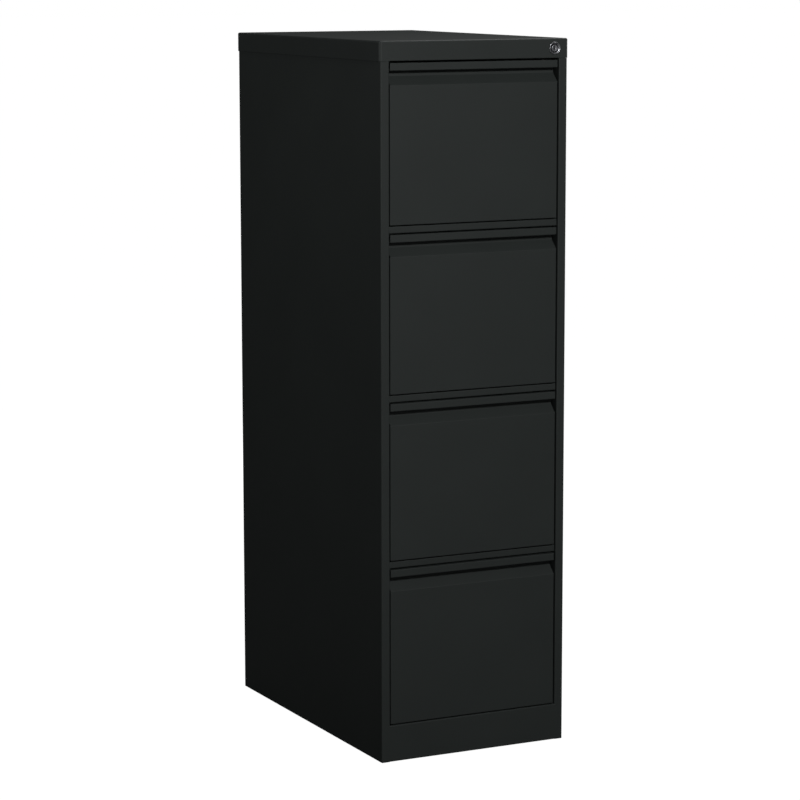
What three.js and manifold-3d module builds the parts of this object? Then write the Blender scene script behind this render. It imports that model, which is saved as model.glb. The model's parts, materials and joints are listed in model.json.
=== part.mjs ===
// Four-drawer vertical filing cabinet, letter width, in millimetres.
// +Z is up, the drawers open towards -Y and +X is on the right of someone facing the front.
// The origin is on the floor under the middle of the whole cabinet.
// Folded sheet is drawn as a line down the middle of its thickness, rounded at every bend.

import * as THREE from 'three';
import { mergeVertices } from 'three/addons/utils/BufferGeometryUtils.js';
import Module from 'manifold-3d';

// ---- overall ----
const HEIGHT = 1321;
const CAP_WIDTH = 385;
const CAP_DEPTH = 635;
const DRAWERS = 4;

// ---- sheet and clearances ----
const SHELL = 0.9; // case and drawer front sheet
const TRAY_SHEET = 0.8;
const BEND = 1.5; // bend radius at the middle of the sheet
const BEND_STEPS = 3;
const FIT = 0.3; // gap between two pieces that touch

// ---- top cap ----
const CAP_SKIRT = 36;
const CAP_OVERHANG = 2; // past each side of the case
const CAP_REAR_OVERHANG = 1.5;
const CAP_CORNER = 3.5;
const CAP_RETURN = 14; // flange under the front skirt

// ---- case ----
const JAMB_WIDTH = 17; // strip of case beside the drawers
const JAMB_RETURN = 24;
const REAR_FLANGE = 14;
const BACK_FLANGE = 12;
const KICK_HEIGHT = 68.8;
const KICK_FLANGE = 20;
const PAN_HEIGHT = 22;
const PAN_FLANGE = 20;
const RAIL_HEIGHT = 13;
const RAIL_SETBACK = 5;
const RAIL_DEPTH = 18;
const UPRIGHT_FRONT = 35; // from the front plane to the front uprights
const UPRIGHT_REAR = 60; // from the rear of the cap to the far side of the rear uprights
const UPRIGHT_WIDTH = 30;

// ---- gaps round the drawer fronts ----
const GAP_TOP = 3.2;
const GAP_LINE = 2;
const GAP_SIDE = 3; // right of a drawer front
const GAP_LEFT = 1.2; // the fronts sit a little to the left of the middle

// ---- drawer front, top to bottom ----
const HEADER = 14; // strip above the finger pull
const HEADER_HEM = 8;
const HEM_SPACE = 2.2; // from the header to its folded-back hem
const RECESS_DEPTH = 16;
const RECESS_FLAT = 10; // upright part of the recess under the header
const RECESS_SLANT = 16;
const FACE_DEPTH = 22;
const FACE_LIP = 14;

// ---- tray ----
const TRAY_FROM_REAR = 23.2; // behind the tray when the drawer is shut
const TRAY_FLOOR = 14; // above the lower edge of the drawer front
const TRAY_TOP_DROP = 28; // from the top of the drawer front to the folder rails
const TRAY_ROLL = 4; // width of the folder rail along each side
const TRAY_FRONT_DROP = 50;
const TRAY_BACK_DROP = 90;
const TRAY_FRONT_SIDE_GAP = 1; // inside the edges of the drawer front

// ---- telescopic slides ----
const SLIDE_SPACE = 15.2; // from the tray to the far side of the fixed member
const SLIDE_INSET = 0.8; // inside the drawer opening
const SLIDE_START = 32; // behind the front plane
const SLIDE_FROM_REAR = 21.5; // behind the slides when the drawer is shut
const SLIDE_HEIGHT_ABOVE = 130; // centre line above the lower edge of the drawer front
const MEMBER = 1.2; // slide steel
const WEB_GAP = 1;
const OUTER_HALF = 22.8;
const MIDDLE_HALF = 16.6;
const INNER_HALF = 10.7;
const LIP_GAP = 3; // from the lips of the two larger members to the tray
const INNER_LIP_GAP = 2.3; // from the lips of the inner member to the web of the middle one
const MIDDLE_SHORTER = 20; // than the other two members

// ---- follower block ----
const FOLLOWER_WIDTH_GAP = 7; // from each tray side
const FOLLOWER_HEIGHT = 196;
const FOLLOWER_LEAN = 30;
const FOLLOWER_FOOT = 72;
const FOLLOWER_FOOT_WIDTH = 90;
const FOLLOWER_LIFT = 1.4; // above the tray floor
const FOLLOWER_FROM_BACK = 105;

// ---- lock ----
const LOCK_FROM_SIDE = 29;
const LOCK_PROUD = 2.5;
const LOCK_RIM_RADIUS = 11.3;
const LOCK_RIM_CHAMFER = 1.2;
const LOCK_BARREL_RADIUS = 9.3;
const LOCK_PLUG_RADIUS = 6.3;
const LOCK_PLUG_PLAY = 0.4;
const LOCK_PLUG_SUNK = 0.6; // behind the rim
const LOCK_LENGTH = 21.2;
const LOCK_NUT_FLATS = 24;
const LOCK_NUT_THICKNESS = 4;
const KEYWAY_WIDTH = 1.6;
const KEYWAY_HEIGHT = 7.5;
const KEYWAY_DEPTH = 9;
const CRANK_RADIUS = 8.5;
const CRANK_DISC_RADIUS = 12;
const CRANK_DISC_THICKNESS = 2.2;
const CRANK_PIN_RADIUS = 2.4;
const CRANK_PIN_PLAY = 0.4;
const CRANK_PIN_PAST = 2.5; // past the far side of the lock bar

// ---- lock bar ----
const BAR_START = 27; // behind the front plane
const BAR_THICKNESS = 2;
const BAR_WIDTH = 12.5;
const BAR_SIDE_GAP = 1.1;
const BAR_BELOW = 60; // bottom end below the lowest slide centre
const BAR_HEAD_BELOW = 8;
const BAR_HEAD_ABOVE = 6;
const BAR_HEAD_PAST = 10; // past the lock centre
const FINGER_HEIGHT = 12;
const FINGER_ABOVE = 30; // above the slide centre line
const FINGER_TRAY_GAP = 2.5;
const STRIKE_GAP = 2; // between finger and strike, up and back
const STRIKE_HEIGHT = 12;
const STRIKE_THICKNESS = 1.5;
const STRIKE_REACH = 11;
const GUIDE_WALL = 1.2;
const GUIDE_HEIGHT = 12;
const GUIDE_BELOW = 30; // below the slide centre line

// ---- levelling glides ----
const GLIDE_FROM_SIDE = 32.5;
const GLIDE_FROM_FRONT = 60;
const GLIDE_FROM_REAR = 60;
const GLIDE_RADIUS = 15;
const GLIDE_FOOT = 6;
const GLIDE_CLEAR = 0.6; // above the floor
const STUD_RADIUS = 4;
const STUD_TOP = 48;
const STUD_PLAY = 0.4;
const BOSS_RADIUS = 8;
const BOSS_HEIGHT = 8;

// ---- worked out from the sizes above; y counts back from the front plane ----
const REAR = CAP_DEPTH - CAP_REAR_OVERHANG;
const CASE_HALF = CAP_WIDTH / 2 - CAP_OVERHANG;
const CASE_INNER = CASE_HALF - SHELL;
const OPENING_HALF = CASE_HALF - JAMB_WIDTH;
const FACE_HALF = OPENING_HALF - GAP_SIDE;
const FACE_LEFT = OPENING_HALF - GAP_LEFT;
const CAP_UNDER = HEIGHT - CAP_SKIRT;
const CASE_TOP = HEIGHT - SHELL - FIT;
const RAIL_SPACE = RAIL_HEIGHT + 2 * GAP_LINE;
const FRONTS = CAP_UNDER - GAP_TOP - KICK_HEIGHT - GAP_LINE - (DRAWERS - 1) * RAIL_SPACE;
const FACE_HEIGHT = FRONTS / DRAWERS;
const PITCH = FACE_HEIGHT + RAIL_SPACE;
const SLIDE_OUT = OPENING_HALF - SLIDE_INSET;
const TRAY_HALF = SLIDE_OUT - SLIDE_SPACE;
const MIDDLE_OUT = SLIDE_OUT - MEMBER - WEB_GAP;
const TRAY_START = FACE_DEPTH + FIT;
const TRAY_LENGTH = REAR - TRAY_FROM_REAR - TRAY_START;
const SLIDE_LENGTH = REAR - SLIDE_FROM_REAR - SLIDE_START;
const TRAY_TOP = FACE_HEIGHT - TRAY_TOP_DROP;
const LOCK_X = CAP_WIDTH / 2 - LOCK_FROM_SIDE;
const LOCK_Z = HEIGHT - CAP_SKIRT / 2;
const CRANK_OFFSET = CRANK_RADIUS * Math.SQRT1_2;
const LOCK_BORE_RADIUS = LOCK_PLUG_RADIUS + LOCK_PLUG_PLAY;
const BAR_OUT = CASE_INNER - BAR_SIDE_GAP;
const BAR_IN = BAR_OUT - BAR_WIDTH;
const BAR_END = BAR_START + BAR_THICKNESS;
const STRIKE_START = BAR_END + STRIKE_GAP;

// Height of the lower edge of a drawer front, counted from the top drawer down.
function faceBottom(number) {
  return KICK_HEIGHT + GAP_LINE + (DRAWERS - number) * PITCH;
}

// ---- materials ----
const paint = { color: 0x2a2e2d, roughness: 0.55, metalness: 0.1 };
const zinc = { color: 0xa9adb0, roughness: 0.38, metalness: 0.9 };
const chrome = { color: 0xd6d8da, roughness: 0.12, metalness: 1 };
const nylon = { color: 0x1b1b1c, roughness: 0.7, metalness: 0 };

// ---- shape helpers ----
const wasm = await Module();
wasm.setup();

// A closed mesh as a solid for joining and cutting.
function solidOf(geometry) {
  const bare = geometry.clone();
  bare.deleteAttribute('normal');
  bare.deleteAttribute('uv');
  const merged = mergeVertices(bare, 1e-4);
  const vertProperties = Float32Array.from(merged.attributes.position.array);
  const triVerts = Uint32Array.from(merged.index.array);
  return new wasm.Manifold(new wasm.Mesh({ numProp: 3, vertProperties, triVerts }));
}

function geometryOf(solid) {
  const mesh = solid.getMesh();
  const geometry = new THREE.BufferGeometry();
  geometry.setAttribute('position', new THREE.BufferAttribute(mesh.vertProperties, 3));
  geometry.setIndex(new THREE.BufferAttribute(mesh.triVerts, 1));
  geometry.computeVertexNormals();
  return geometry;
}

function join(...geometries) {
  return geometryOf(geometries.map(solidOf).reduce((whole, next) => whole.add(next)));
}

function cut(geometry, ...tools) {
  return geometryOf(tools.map(solidOf).reduce((whole, tool) => whole.subtract(tool), solidOf(geometry)));
}

// A box between two limits on each axis.
function block([x0, x1], [y0, y1], [z0, z1]) {
  const geometry = new THREE.BoxGeometry(Math.abs(x1 - x0), y1 - y0, z1 - z0);
  return geometry.translate((x0 + x1) / 2, (y0 + y1) / 2, (z0 + z1) / 2);
}

// The outline of a bent sheet that follows the given corners, as [along, across] pairs.
function sheet(corners, thickness, radius = BEND) {
  const points = corners.map(([u, v]) => new THREE.Vector2(u, v));
  const line = [];
  const first = points[1].clone().sub(points[0]).normalize();
  line.push([points[0], first]);
  for (let i = 1; i < points.length - 1; i += 1) {
    const before = points[i].clone().sub(points[i - 1]).normalize();
    const after = points[i + 1].clone().sub(points[i]).normalize();
    const turn = Math.atan2(before.cross(after), before.dot(after));
    const back = radius * Math.tan(Math.abs(turn) / 2);
    const start = points[i].clone().addScaledVector(before, -back);
    const inward = new THREE.Vector2(-before.y, before.x).multiplyScalar(Math.sign(turn) * radius);
    const centre = start.clone().add(inward);
    for (let step = 0; step <= BEND_STEPS; step += 1) {
      const angle = (turn * step) / BEND_STEPS;
      const spoke = inward.clone().negate().rotateAround(new THREE.Vector2(), angle);
      line.push([centre.clone().add(spoke), before.clone().rotateAround(new THREE.Vector2(), angle)]);
    }
  }
  const last = points.at(-1).clone().sub(points.at(-2)).normalize();
  line.push([points.at(-1), last]);
  const side = (sign) => line.map(([point, way]) => new THREE.Vector2(
    point.x - (sign * way.y * thickness) / 2,
    point.y + (sign * way.x * thickness) / 2,
  ));
  return new THREE.Shape([...side(1), ...side(-1).reverse()]);
}

const AXES = {
  x: [new THREE.Vector3(0, 1, 0), new THREE.Vector3(0, 0, 1), new THREE.Vector3(1, 0, 0)],
  y: [new THREE.Vector3(1, 0, 0), new THREE.Vector3(0, 0, 1), new THREE.Vector3(0, -1, 0)],
  z: [new THREE.Vector3(1, 0, 0), new THREE.Vector3(0, 1, 0), new THREE.Vector3(0, 0, 1)],
};

// A section pushed along an axis from one limit to another. Sections across X are drawn in
// (Y, Z), across Y in (X, Z) and across Z in (X, Y).
function push(shape, axis, from, to) {
  const geometry = new THREE.ExtrudeGeometry(shape, { depth: to - from, bevelEnabled: false });
  const frame = new THREE.Matrix4().makeBasis(...AXES[axis]);
  geometry.applyMatrix4(frame);
  const start = { x: [from, 0, 0], y: [0, to, 0], z: [0, 0, from] }[axis];
  return geometry.translate(...start);
}

// A turned piece on the Y axis; profile points are [radius, y].
function turned(profile, segments = 32) {
  const points = profile.map(([radius, y]) => new THREE.Vector2(radius, y));
  return new THREE.LatheGeometry(points, segments);
}

function disc(radius, y0, y1, segments = 32) {
  return turned([[0, y0], [radius, y0], [radius, y1], [0, y1]], segments);
}

function roundedRectangle(halfX, y0, y1, radius) {
  const shape = new THREE.Shape();
  shape.moveTo(-halfX + radius, y0);
  shape.lineTo(halfX - radius, y0);
  shape.absarc(halfX - radius, y0 + radius, radius, -Math.PI / 2, 0);
  shape.lineTo(halfX, y1 - radius);
  shape.absarc(halfX - radius, y1 - radius, radius, 0, Math.PI / 2);
  shape.lineTo(-halfX + radius, y1);
  shape.absarc(-halfX + radius, y1 - radius, radius, Math.PI / 2, Math.PI);
  shape.lineTo(-halfX, y0 + radius);
  shape.absarc(-halfX + radius, y0 + radius, radius, Math.PI, Math.PI * 1.5);
  return new THREE.Shape(shape.getPoints(4));
}

function piece(name, geometry, finish) {
  const mesh = new THREE.Mesh(geometry, new THREE.MeshStandardMaterial(finish));
  mesh.name = name;
  return mesh;
}

// ---- case ----

// One side of the case: outer wall, front jamb with its return, and rear flange.
// The front edge is cut away at the top, where the cap hangs over it.
function sidePanel(side) {
  const half = SHELL / 2;
  const section = sheet([
    [side * (OPENING_HALF + half), JAMB_RETURN],
    [side * (OPENING_HALF + half), half],
    [side * (CASE_HALF - half), half],
    [side * (CASE_HALF - half), REAR - half],
    [side * (CASE_HALF - REAR_FLANGE), REAR - half],
  ], SHELL);
  const wall = push(section, 'z', 0, CASE_TOP);
  const inside = side * (OPENING_HALF - FIT);
  const outside = side * (CASE_HALF + FIT);
  const notch = block([inside, outside], [-FIT, JAMB_RETURN + GAP_LINE], [CAP_UNDER - FIT, HEIGHT]);
  return cut(wall, notch);
}

// Pan-shaped rear wall, inside the rear flanges of the sides.
function backPanel() {
  const half = SHELL / 2;
  const edge = CASE_INNER - FIT - half;
  const rear = REAR - SHELL - FIT - half;
  const section = sheet([
    [-edge, rear - BACK_FLANGE],
    [-edge, rear],
    [edge, rear],
    [edge, rear - BACK_FLANGE],
  ], SHELL);
  return push(section, 'z', 0, CASE_TOP);
}

// Folded lid with a skirt all round, a flange under the front and the lock hole.
function topCap() {
  const outer = push(roundedRectangle(CAP_WIDTH / 2, 0, CAP_DEPTH, CAP_CORNER), 'z', CAP_UNDER, HEIGHT);
  const hollow = roundedRectangle(CAP_WIDTH / 2 - SHELL, SHELL, CAP_DEPTH - SHELL, CAP_CORNER - SHELL);
  const inner = push(hollow, 'z', CAP_UNDER - 1, HEIGHT - SHELL);
  const reach = OPENING_HALF - BEND;
  const lip = block([-reach, reach], [SHELL / 2, CAP_RETURN], [CAP_UNDER, CAP_UNDER + SHELL]);
  const hole = disc(LOCK_BARREL_RADIUS + FIT * 1.5, -1, SHELL + 1).translate(LOCK_X, 0, LOCK_Z);
  return cut(join(cut(outer, inner), lip), hole);
}

// Plinth between the jambs, folded back at the top and on the floor.
function kickPlate() {
  const half = SHELL / 2;
  const section = sheet([
    [KICK_FLANGE, KICK_HEIGHT - half],
    [half, KICK_HEIGHT - half],
    [half, half],
    [KICK_FLANGE, half],
  ], SHELL);
  const reach = OPENING_HALF - FIT;
  return push(section, 'x', -reach, reach);
}

// Glide positions, as [side, y].
const GLIDES = {
  glide_front_left: [-1, GLIDE_FROM_FRONT],
  glide_front_right: [1, GLIDE_FROM_FRONT],
  glide_rear_left: [-1, CAP_DEPTH - GLIDE_FROM_REAR],
  glide_rear_right: [1, CAP_DEPTH - GLIDE_FROM_REAR],
};
const GLIDE_X = CAP_WIDTH / 2 - GLIDE_FROM_SIDE;

// An upright cylinder between two heights.
function post(radius, z0, z1, segments = 24) {
  return disc(radius, 0, z1 - z0, segments).rotateX(Math.PI / 2).translate(0, 0, z0);
}

// Floor of the case: stiffening flange at the front, a foot along the rear, four threaded bosses.
function basePan() {
  const half = SHELL / 2;
  const rear = REAR - 2 * (SHELL + FIT) - half;
  const front = JAMB_RETURN + GAP_LINE + half;
  const section = sheet([
    [front, PAN_HEIGHT / 3],
    [front, PAN_HEIGHT - half],
    [rear, PAN_HEIGHT - half],
    [rear, half],
    [rear - PAN_FLANGE, half],
  ], SHELL);
  const reach = CASE_HALF - 2 * (SHELL + FIT) - BEND;
  let pan = push(section, 'x', -reach, reach);
  for (const [side, y] of Object.values(GLIDES)) {
    const boss = post(BOSS_RADIUS, PAN_HEIGHT - half, PAN_HEIGHT + BOSS_HEIGHT);
    const bore = post(STUD_RADIUS + STUD_PLAY, PAN_HEIGHT - BOSS_HEIGHT, PAN_HEIGHT + 2 * BOSS_HEIGHT);
    pan = cut(join(pan, boss.translate(side * GLIDE_X, y, 0)), bore.translate(side * GLIDE_X, y, 0));
  }
  return pan;
}

// Rail between two drawers, a channel open to the rear.
function crossRail() {
  const half = SHELL / 2;
  const front = RAIL_SETBACK + half;
  const rear = RAIL_SETBACK + RAIL_DEPTH;
  const section = sheet([
    [rear, RAIL_HEIGHT - half],
    [front, RAIL_HEIGHT - half],
    [front, half],
    [rear, half],
  ], SHELL);
  const reach = OPENING_HALF - FIT;
  return push(section, 'x', -reach, reach);
}

// Inner column that carries the slides, a channel open to the side wall.
function upright(side, y) {
  const half = MEMBER / 2;
  const near = SLIDE_OUT + FIT + half;
  const far = CASE_INNER - FIT;
  const section = sheet([
    [side * far, y + half],
    [side * near, y + half],
    [side * near, y + UPRIGHT_WIDTH - half],
    [side * far, y + UPRIGHT_WIDTH - half],
  ], MEMBER);
  return push(section, 'z', PAN_HEIGHT + FIT, CAP_UNDER - FIT);
}

// One glide: a moulded foot on a threaded stud.
function glide() {
  const top = GLIDE_CLEAR + GLIDE_FOOT;
  return turned([
    [0, GLIDE_CLEAR],
    [GLIDE_RADIUS - 2, GLIDE_CLEAR],
    [GLIDE_RADIUS, GLIDE_CLEAR + 2],
    [GLIDE_RADIUS, top - 1.5],
    [STUD_RADIUS + 2.5, top],
    [STUD_RADIUS, top + 1.5],
    [STUD_RADIUS, STUD_TOP],
    [0, STUD_TOP],
  ], 24).rotateX(Math.PI / 2);
}

// ---- slides ----

// A channel member of a slide, drawn about its own centre line: web at one side, lips towards the other.
function slideMember(side, web, tip, halfHeight, y0, y1) {
  const half = MEMBER / 2;
  const section = sheet([
    [side * tip, halfHeight - half],
    [side * web, halfHeight - half],
    [side * web, half - halfHeight],
    [side * tip, half - halfHeight],
  ], MEMBER);
  return push(section, 'y', y0, y1);
}

function outerMember(side) {
  const web = SLIDE_OUT - MEMBER / 2;
  return slideMember(side, web, TRAY_HALF + LIP_GAP, OUTER_HALF, SLIDE_START, SLIDE_START + SLIDE_LENGTH);
}

function middleMember(side) {
  const web = MIDDLE_OUT - MEMBER / 2;
  const start = SLIDE_START + GAP_LINE;
  return slideMember(side, web, TRAY_HALF + LIP_GAP, MIDDLE_HALF, start, start + SLIDE_LENGTH - MIDDLE_SHORTER);
}

function innerMember(side) {
  const web = TRAY_HALF + FIT + MEMBER / 2;
  const tip = MIDDLE_OUT - MEMBER - INNER_LIP_GAP;
  return slideMember(side, web, tip, INNER_HALF, SLIDE_START, SLIDE_START + SLIDE_LENGTH);
}

// ---- drawers; z counts up from the lower edge of the drawer front ----

// Drawer front: one folded sheet with a full-width finger pull, and side flanges below the pull.
function drawerFace() {
  const half = SHELL / 2;
  const headerFoot = FACE_HEIGHT - HEADER;
  const flatFoot = headerFoot - RECESS_FLAT;
  const slantFoot = flatFoot - RECESS_SLANT;
  const top = FACE_HEIGHT - half;
  const plate = RECESS_DEPTH + half;
  const section = sheet([
    [half + HEM_SPACE, headerFoot + HEADER_HEM],
    [half + HEM_SPACE, headerFoot + half],
    [half, headerFoot + half],
    [half, top],
    [plate, top],
    [plate, flatFoot],
    [half, slantFoot],
    [half, half],
    [FACE_DEPTH - half, half],
    [FACE_DEPTH - half, FACE_LIP],
  ], SHELL, HEM_SPACE / 2);
  const front = push(section, 'x', -FACE_LEFT, FACE_HALF);
  const flanges = [-1, 1].map((side) => {
    const reach = side < 0 ? FACE_LEFT : FACE_HALF;
    const flange = sheet([
      [side * (reach - FACE_LIP), half],
      [side * (reach - half), half],
      [side * (reach - half), FACE_DEPTH - half],
      [side * (reach - FACE_LIP), FACE_DEPTH - half],
    ], SHELL);
    return push(flange, 'z', half, slantFoot - BEND);
  });
  return join(front, ...flanges);
}

// Tray: floor and sides folded from one sheet with a folder rail along each side,
// closed by a wide front panel and a rear panel. The lock's strike is on the right.
function tray() {
  const half = TRAY_SHEET / 2;
  const wall = TRAY_HALF - half;
  const rail = TRAY_HALF - TRAY_ROLL;
  const section = sheet([
    [-rail, TRAY_TOP - TRAY_ROLL - BEND],
    [-rail, TRAY_TOP - half],
    [-wall, TRAY_TOP - half],
    [-wall, TRAY_FLOOR + half],
    [wall, TRAY_FLOOR + half],
    [wall, TRAY_TOP - half],
    [rail, TRAY_TOP - half],
    [rail, TRAY_TOP - TRAY_ROLL - BEND],
  ], TRAY_SHEET);
  const end = TRAY_START + TRAY_LENGTH;
  const channel = push(section, 'y', TRAY_START, end);
  const wide = FACE_HALF - TRAY_FRONT_SIDE_GAP;
  const frontTop = FACE_HEIGHT - TRAY_FRONT_DROP;
  const front = block([-wide, wide], [TRAY_START, TRAY_START + TRAY_SHEET], [TRAY_FLOOR / 2, frontTop]);
  const backTop = FACE_HEIGHT - TRAY_BACK_DROP;
  const back = block([-wall, wall], [end - TRAY_SHEET, end], [TRAY_FLOOR + half, backTop]);
  const strikeFoot = SLIDE_HEIGHT_ABOVE + FINGER_ABOVE + FINGER_HEIGHT + STRIKE_GAP;
  const strike = block(
    [wall, TRAY_HALF + STRIKE_REACH],
    [STRIKE_START, STRIKE_START + STRIKE_THICKNESS],
    [strikeFoot, strikeFoot + STRIKE_HEIGHT],
  );
  return join(channel, front, back, strike);
}

// Follower block: a leaning plate that holds the files up, on a foot along the tray floor.
function follower() {
  const half = TRAY_SHEET / 2;
  const foot = TRAY_FLOOR + TRAY_SHEET + FOLLOWER_LIFT + half;
  const y = TRAY_START + TRAY_LENGTH - FOLLOWER_FROM_BACK;
  const width = TRAY_HALF - TRAY_SHEET - FOLLOWER_WIDTH_GAP;
  const corners = [
    [y + FOLLOWER_FOOT, foot],
    [y, foot],
    [y + FOLLOWER_LEAN, foot + FOLLOWER_HEIGHT],
  ];
  const narrow = push(sheet(corners, TRAY_SHEET), 'x', -FOLLOWER_FOOT_WIDTH / 2, FOLLOWER_FOOT_WIDTH / 2);
  const rise = 0.04; // the wide plate starts this share of the way up the slope
  const plate = [
    [y + FOLLOWER_LEAN * rise, foot + FOLLOWER_HEIGHT * rise],
    [y + FOLLOWER_LEAN, foot + FOLLOWER_HEIGHT],
    [y + FOLLOWER_LEAN + TRAY_ROLL * 2, foot + FOLLOWER_HEIGHT],
  ];
  return join(narrow, push(sheet(plate, TRAY_SHEET), 'x', -width, width));
}

// ---- lock; drawn about the lock's own axis ----

function lockHousing() {
  return turned([
    [LOCK_BORE_RADIUS, -LOCK_PROUD],
    [LOCK_RIM_RADIUS - LOCK_RIM_CHAMFER, -LOCK_PROUD],
    [LOCK_RIM_RADIUS, -LOCK_PROUD + LOCK_RIM_CHAMFER],
    [LOCK_RIM_RADIUS, -FIT / 3],
    [LOCK_BARREL_RADIUS, -FIT / 3],
    [LOCK_BARREL_RADIUS, LOCK_LENGTH],
    [LOCK_BORE_RADIUS, LOCK_LENGTH],
    [LOCK_BORE_RADIUS, -LOCK_PROUD],
  ]);
}

// Hexagon nut that clamps the housing from behind.
function lockNut() {
  const corner = LOCK_NUT_FLATS / Math.sqrt(3);
  const bore = LOCK_BARREL_RADIUS + FIT * 1.5;
  const start = SHELL + FIT;
  const body = disc(corner, start, start + LOCK_NUT_THICKNESS, 6);
  return cut(body, disc(bore, start - 1, start + LOCK_NUT_THICKNESS + 1));
}

function lockPlug() {
  const face = LOCK_PLUG_SUNK - LOCK_PROUD;
  const key = KEYWAY_WIDTH / 2;
  const slot = block([-key, key], [face - 1, face + KEYWAY_DEPTH], [-KEYWAY_HEIGHT / 2, KEYWAY_HEIGHT / 2]);
  return cut(disc(LOCK_PLUG_RADIUS, face, LOCK_LENGTH + FIT), slot);
}

// Crank on the plug's inner end. Its pin lifts the bar; unlocked, it points down and outwards.
function lockCrank() {
  const start = LOCK_LENGTH + 2 * FIT;
  const pin = disc(CRANK_PIN_RADIUS, start + FIT, BAR_END + CRANK_PIN_PAST, 20);
  pin.translate(CRANK_OFFSET, 0, -CRANK_OFFSET);
  return join(disc(CRANK_DISC_RADIUS, start, start + CRANK_DISC_THICKNESS), pin);
}

// Flat bar behind the right jamb: a slotted head for the crank's pin and a finger for each drawer.
function lockBar() {
  const depth = [BAR_START, BAR_END];
  const slotZ = LOCK_Z - CRANK_OFFSET;
  const bottom = faceBottom(DRAWERS) + SLIDE_HEIGHT_ABOVE - BAR_BELOW;
  const strip = block([BAR_IN, BAR_OUT], depth, [bottom, slotZ]);
  const headSpan = [slotZ - BAR_HEAD_BELOW, slotZ + BAR_HEAD_ABOVE];
  const head = block([LOCK_X - BAR_HEAD_PAST, BAR_OUT], depth, headSpan);
  const fingers = Array.from({ length: DRAWERS }, (_, index) => {
    const foot = faceBottom(index + 1) + SLIDE_HEIGHT_ABOVE + FINGER_ABOVE;
    return block([TRAY_HALF + FINGER_TRAY_GAP, BAR_OUT], depth, [foot, foot + FINGER_HEIGHT]);
  });
  const room = CRANK_PIN_RADIUS + CRANK_PIN_PLAY;
  const slot = block(
    [LOCK_X + CRANK_OFFSET - room, LOCK_X + CRANK_RADIUS + room],
    [BAR_START - 1, BAR_END + 1],
    [slotZ - room, slotZ + room],
  );
  return cut(join(strip, head, ...fingers), slot);
}

// Bracket on the side wall that the bar slides through.
function barGuide(number) {
  const z = faceBottom(number) + SLIDE_HEIGHT_ABOVE - GUIDE_BELOW;
  const outer = block(
    [BAR_IN - FIT - GUIDE_WALL, CASE_INNER - FIT],
    [BAR_START - FIT - GUIDE_WALL, BAR_END + FIT + GUIDE_WALL],
    [z, z + GUIDE_HEIGHT],
  );
  const across = [BAR_IN - FIT, BAR_OUT + FIT];
  const way = block(across, [BAR_START - FIT, BAR_END + FIT], [z - 1, z + GUIDE_HEIGHT + 1]);
  return cut(outer, way);
}

// ---- assembly ----
const cabinet = new THREE.Group();
cabinet.position.y = (LOCK_PROUD - CAP_DEPTH) / 2;
const SIDES = { left: -1, right: 1 };

for (const [name, side] of Object.entries(SIDES)) {
  cabinet.add(piece(`side_panel_${name}`, sidePanel(side), paint));
  cabinet.add(piece(`front_upright_${name}`, upright(side, UPRIGHT_FRONT), zinc));
  cabinet.add(piece(`rear_upright_${name}`, upright(side, CAP_DEPTH - UPRIGHT_REAR), zinc));
}
cabinet.add(piece('back_panel', backPanel(), paint));
cabinet.add(piece('top_cap', topCap(), paint));
cabinet.add(piece('kick_plate', kickPlate(), paint));
cabinet.add(piece('base_pan', basePan(), paint));

for (let number = 1; number < DRAWERS; number += 1) {
  const rail = piece(`cross_rail_${number}`, crossRail(), paint);
  rail.position.z = faceBottom(number) - GAP_LINE - RAIL_HEIGHT;
  cabinet.add(rail);
}

for (const [name, [side, y]] of Object.entries(GLIDES)) {
  const foot = piece(name, glide(), nylon);
  foot.position.set(side * GLIDE_X, y, 0);
  cabinet.add(foot);
}

const lock = new THREE.Group();
lock.position.set(LOCK_X, 0, LOCK_Z);
lock.add(piece('lock_housing', lockHousing(), chrome));
lock.add(piece('lock_nut', lockNut(), zinc));
lock.add(piece('lock_plug', lockPlug(), chrome));
lock.add(piece('lock_crank', lockCrank(), zinc));
cabinet.add(lock);
cabinet.add(piece('lock_bar', lockBar(), paint));
cabinet.add(piece('lock_bar_guide_upper', barGuide(1), paint));
cabinet.add(piece('lock_bar_guide_lower', barGuide(DRAWERS), paint));

for (let number = 1; number <= DRAWERS; number += 1) {
  const drawer = new THREE.Group();
  drawer.position.z = faceBottom(number);
  drawer.add(piece(`drawer_face_${number}`, drawerFace(), paint));
  drawer.add(piece(`drawer_tray_${number}`, tray(), paint));
  drawer.add(piece(`follower_block_${number}`, follower(), paint));
  const slides = new THREE.Group();
  slides.position.z = SLIDE_HEIGHT_ABOVE;
  for (const [name, side] of Object.entries(SIDES)) {
    slides.add(piece(`slide_outer_${name}_${number}`, outerMember(side), zinc));
    slides.add(piece(`slide_middle_${name}_${number}`, middleMember(side), zinc));
    slides.add(piece(`slide_inner_${name}_${number}`, innerMember(side), zinc));
  }
  drawer.add(slides);
  cabinet.add(drawer);
}

export default cabinet;
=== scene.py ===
"""Looks for the four-drawer filing cabinet: folded and painted sheet steel, zinc slides, a chrome lock.

Pieces are drawn in millimetres, with y counting back from the front plane, and fit() puts them in place in metres.
"""
import json
import math

import bmesh
import bpy
from mathutils import Matrix, Vector


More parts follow.
